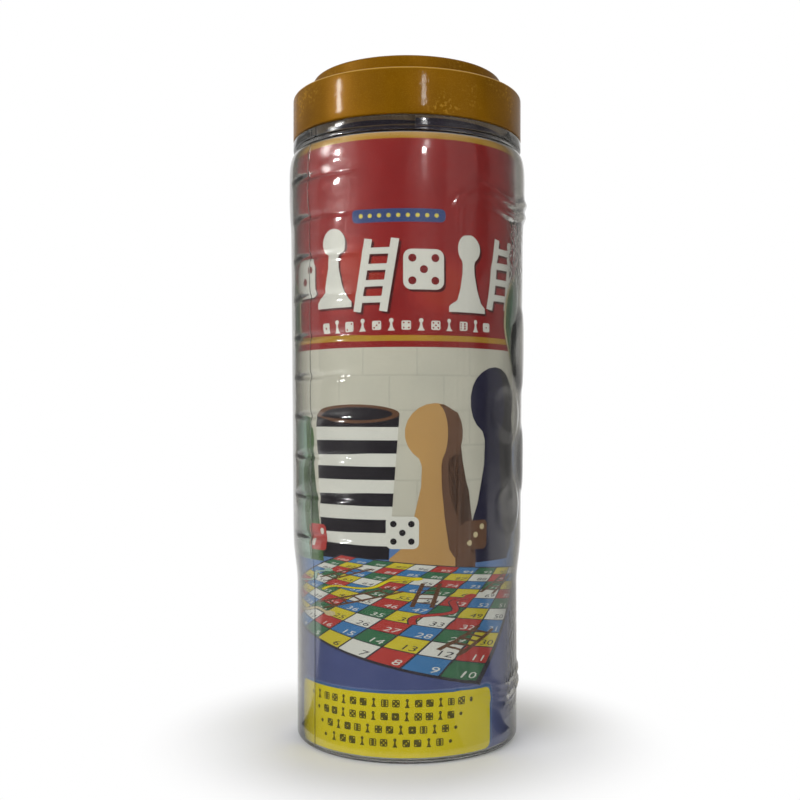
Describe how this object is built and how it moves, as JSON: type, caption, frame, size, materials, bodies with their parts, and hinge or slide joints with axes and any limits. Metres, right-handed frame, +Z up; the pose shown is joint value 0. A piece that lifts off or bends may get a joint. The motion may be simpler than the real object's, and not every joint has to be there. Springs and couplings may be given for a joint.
{
  "type": "ludo game in a jar",
  "caption": "Clear ribbed screw-cap jar with a rolled printed label, holding a rolled cloth game board, coloured pawns and a die.",
  "frame": {"origin": "middle of the jar's base, on the surface that it stands on", "axes": "+Z up along the jar's axis, -Y towards the front of the label, +X to its right"},
  "size_m": [0.0962, 0.0962, 0.265],
  "materials": {
    "clear_plastic": "clear blown plastic, glossy",
    "label_paper": "printed paper, satin",
    "gold_plastic": "gold moulded plastic, glossy",
    "liner_foam": "foam sheet, matt",
    "board_cloth": "printed woven cloth",
    "die_plastic": "white moulded plastic",
    "red_plastic": "moulded plastic, glossy",
    "blue_plastic": "moulded plastic, glossy",
    "green_plastic": "moulded plastic, glossy",
    "yellow_plastic": "moulded plastic, glossy"
  },
  "bodies": {
    "jar": {"jar_body": "clear_plastic", "label_sheet": "label_paper"},
    "liner": {"cap_liner": "liner_foam"},
    "cap": {"screw_cap": "gold_plastic"},
    "board": {"cloth_board": "board_cloth"},
    "pawn_red_1": {"pawn_red_1": "red_plastic"},
    "pawn_red_2": {"pawn_red_2": "red_plastic"},
    "pawn_red_3": {"pawn_red_3": "red_plastic"},
    "pawn_red_4": {"pawn_red_4": "red_plastic"},
    "pawn_blue_1": {"pawn_blue_1": "blue_plastic"},
    "pawn_blue_2": {"pawn_blue_2": "blue_plastic"},
    "pawn_blue_3": {"pawn_blue_3": "blue_plastic"},
    "pawn_blue_4": {"pawn_blue_4": "blue_plastic"},
    "pawn_green_1": {"pawn_green_1": "green_plastic"},
    "pawn_green_2": {"pawn_green_2": "green_plastic"},
    "pawn_green_3": {"pawn_green_3": "green_plastic"},
    "pawn_green_4": {"pawn_green_4": "green_plastic"},
    "pawn_yellow_1": {"pawn_yellow_1": "yellow_plastic"},
    "pawn_yellow_2": {"pawn_yellow_2": "yellow_plastic"},
    "pawn_yellow_3": {"pawn_yellow_3": "yellow_plastic"},
    "pawn_yellow_4": {"pawn_yellow_4": "yellow_plastic"},
    "die": {"die": "die_plastic"}
  },
  "joints": [
    {"name": "cap_rise", "type": "slide", "parent": "jar", "child": "liner", "axis": [0, 0, 1], "range_m": [0, 0.0176]},
    {"name": "cap_turn", "type": "hinge", "parent": "liner", "child": "cap", "pos_m": [0, 0, 0.245], "axis": [0, 0, 1], "range_deg": [0, 1260]},
    {"name": "board_turn", "type": "hinge", "parent": "jar", "child": "board", "pos_m": [0, 0, 0.1], "axis": [0, 0, 1], "continuous": true},
    {"name": "pawn_red_1_lift", "type": "slide", "parent": "jar", "child": "pawn_red_1", "axis": [0, 0, 1], "range_m": [0, 0.225]},
    {"name": "pawn_red_2_lift", "type": "slide", "parent": "jar", "child": "pawn_red_2", "axis": [0, 0, 1], "range_m": [0, 0.225]},
    {"name": "pawn_red_3_lift", "type": "slide", "parent": "jar", "child": "pawn_red_3", "axis": [0, 0, 1], "range_m": [0, 0.225]},
    {"name": "pawn_red_4_lift", "type": "slide", "parent": "jar", "child": "pawn_red_4", "axis": [0, 0, 1], "range_m": [0, 0.225]},
    {"name": "pawn_blue_1_lift", "type": "slide", "parent": "jar", "child": "pawn_blue_1", "axis": [0, 0, 1], "range_m": [0, 0.225]},
    {"name": "pawn_blue_2_lift", "type": "slide", "parent": "jar", "child": "pawn_blue_2", "axis": [0, 0, 1], "range_m": [0, 0.225]},
    {"name": "pawn_blue_3_lift", "type": "slide", "parent": "jar", "child": "pawn_blue_3", "axis": [0, 0, 1], "range_m": [0, 0.225]},
    {"name": "pawn_blue_4_lift", "type": "slide", "parent": "jar", "child": "pawn_blue_4", "axis": [0, 0, 1], "range_m": [0, 0.225]},
    {"name": "pawn_green_1_lift", "type": "slide", "parent": "jar", "child": "pawn_green_1", "axis": [0, 0, 1], "range_m": [0, 0.225]},
    {"name": "pawn_green_2_lift", "type": "slide", "parent": "jar", "child": "pawn_green_2", "axis": [0, 0, 1], "range_m": [0, 0.225]},
    {"name": "pawn_green_3_lift", "type": "slide", "parent": "jar", "child": "pawn_green_3", "axis": [0, 0, 1], "range_m": [0, 0.225]},
    {"name": "pawn_green_4_lift", "type": "slide", "parent": "jar", "child": "pawn_green_4", "axis": [0, 0, 1], "range_m": [0, 0.225]},
    {"name": "pawn_yellow_1_lift", "type": "slide", "parent": "jar", "child": "pawn_yellow_1", "axis": [0, 0, 1], "range_m": [0, 0.225]},
    {"name": "pawn_yellow_2_lift", "type": "slide", "parent": "jar", "child": "pawn_yellow_2", "axis": [0, 0, 1], "range_m": [0, 0.225]},
    {"name": "pawn_yellow_3_lift", "type": "slide", "parent": "jar", "child": "pawn_yellow_3", "axis": [0, 0, 1], "range_m": [0, 0.225]},
    {"name": "pawn_yellow_4_lift", "type": "slide", "parent": "jar", "child": "pawn_yellow_4", "axis": [0, 0, 1], "range_m": [0, 0.225]},
    {"name": "die_lift", "type": "slide", "parent": "jar", "child": "die", "axis": [0, 0, 1], "range_m": [0, 0.235]}
  ],
  "couplings": [
    {"joint": "cap_rise", "follows": "cap_turn", "m_per_rad": 0.00079577}
  ]
}
